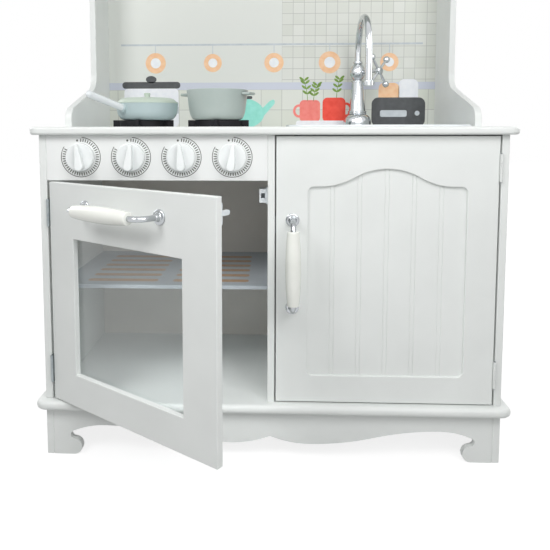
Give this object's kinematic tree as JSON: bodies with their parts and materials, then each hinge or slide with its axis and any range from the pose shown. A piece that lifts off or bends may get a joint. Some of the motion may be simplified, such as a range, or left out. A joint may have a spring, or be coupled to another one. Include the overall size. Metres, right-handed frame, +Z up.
{
  "type": "toy kitchen",
  "caption": "White wooden toy kitchen with a glazed oven door, arched cupboard door, turning dials, hobs, sink, swan-neck tap, hutch with tiled splashback, scalloped plinth and pans",
  "frame": {"origin": "on the floor, at the middle of the width, on the flat wall face behind the kitchen", "axes": "+X to the kitchen's right as seen from the front, +Y back into the wall, +Z up"},
  "size_m": [0.602, 0.4392, 0.85],
  "materials": {
    "painted_board": "smooth satin white paint over fibreboard",
    "printed_splashback": "satin board printed with off-white tiles and motifs",
    "printed_control_panel": "satin white paint with printed dial rings",
    "printed_shelf": "satin board with a pale printed rack pattern",
    "white_plastic": "smooth white moulding",
    "black_plastic": "fine-grained black moulding",
    "chrome": "bright plated metal",
    "catch_plastic": "pale grey moulding",
    "bare_wood": "unpainted beech",
    "zinc_steel": "zinc-plated steel",
    "clear_pane": "clear acrylic sheet",
    "cream_grip": "glossy cream moulding",
    "knob_plastic": "glossy white moulding",
    "sage_enamel": "smooth sage-grey coating",
    "grey_enamel": "smooth grey coating"
  },
  "bodies": {
    "cabinet": {"left_side_panel": "painted_board", "right_side_panel": "painted_board", "centre_partition": "painted_board", "base_board": "painted_board", "worktop": "painted_board", "back_panel": "painted_board", "control_panel": "printed_control_panel", "oven_shelf": "printed_shelf", "plinth_apron": "painted_board", "plinth_left_board": "painted_board", "plinth_right_board": "painted_board", "plinth_back_rail": "painted_board", "left_wing": "painted_board", "right_wing": "painted_board", "splashback": "printed_splashback", "hutch_shelf": "painted_board", "top_board": "painted_board", "sink_basin": "white_plastic", "burner_left": "black_plastic", "burner_right": "black_plastic", "faucet_base": "chrome", "faucet_nut": "white_plastic", "oven_catch": "catch_plastic", "cupboard_catch": "catch_plastic", "oven_hinge_frame_leaves": "zinc_steel", "cupboard_hinge_frame_leaves": "zinc_steel", "hinge_pins": "zinc_steel", "panel_screws": "zinc_steel", "dowels": "bare_wood", "frame_small_screws": "zinc_steel"},
    "oven_door": {"oven_door": "painted_board", "oven_window": "clear_pane", "oven_handle_bow": "chrome", "oven_handle_grip": "cream_grip", "oven_handle_screws": "zinc_steel", "oven_hinge_door_leaves": "zinc_steel", "oven_strike": "catch_plastic", "oven_door_small_screws": "zinc_steel"},
    "cupboard_door": {"cupboard_door": "painted_board", "cupboard_handle_bow": "chrome", "cupboard_handle_grip": "cream_grip", "cupboard_handle_screws": "zinc_steel", "cupboard_hinge_door_leaves": "zinc_steel", "cupboard_strike": "catch_plastic", "cupboard_door_small_screws": "zinc_steel"},
    "dial_1": {"knob_1": "knob_plastic"},
    "dial_2": {"knob_2": "knob_plastic"},
    "dial_3": {"knob_3": "knob_plastic"},
    "dial_4": {"knob_4": "knob_plastic"},
    "spout": {"faucet_spout": "chrome"},
    "cross_handle": {"faucet_handle": "chrome"},
    "pan": {"pan_body": "sage_enamel", "pan_handle": "white_plastic"},
    "lid": {"pan_lid": "sage_enamel"},
    "saucepan": {"saucepan": "grey_enamel"}
  },
  "joints": [
    {"name": "oven_door_swing", "type": "hinge", "parent": "cabinet", "child": "oven_door", "pos_m": [-0.279, -0.284, 0.216], "axis": [0, 0, -1], "range_deg": [-35, 75]},
    {"name": "cupboard_door_swing", "type": "hinge", "parent": "cabinet", "child": "cupboard_door", "pos_m": [0.279, -0.284, 0.244], "axis": [0, 0, 1], "range_deg": [0, 110]},
    {"name": "dial_1_turn", "type": "hinge", "parent": "cabinet", "child": "dial_1", "pos_m": [-0.2362, -0.282, 0.3862], "axis": [0, 1, 0], "continuous": true},
    {"name": "dial_2_turn", "type": "hinge", "parent": "cabinet", "child": "dial_2", "pos_m": [-0.1732, -0.282, 0.3862], "axis": [0, 1, 0], "continuous": true},
    {"name": "dial_3_turn", "type": "hinge", "parent": "cabinet", "child": "dial_3", "pos_m": [-0.1102, -0.282, 0.3862], "axis": [0, 1, 0], "continuous": true},
    {"name": "dial_4_turn", "type": "hinge", "parent": "cabinet", "child": "dial_4", "pos_m": [-0.0472, -0.282, 0.3862], "axis": [0, 1, 0], "continuous": true},
    {"name": "spout_swivel", "type": "hinge", "parent": "cabinet", "child": "spout", "pos_m": [0.14, -0.039, 0.52], "axis": [0, 0, 1], "range_deg": [-80, 80]},
    {"name": "cross_handle_turn", "type": "hinge", "parent": "cabinet", "child": "cross_handle", "pos_m": [0.14, -0.039, 0.5105], "axis": [0.7071, -0.7071, 0], "continuous": true},
    {"name": "pan_lift", "type": "slide", "parent": "cabinet", "child": "pan", "axis": [0, 0, 1], "range_m": [0, 0.2]},
    {"name": "lid_lift", "type": "slide", "parent": "pan", "child": "lid", "axis": [0, 0, 1], "range_m": [0, 0.08]},
    {"name": "saucepan_lift", "type": "slide", "parent": "cabinet", "child": "saucepan", "axis": [0, 0, 1], "range_m": [0, 0.2]}
  ]
}
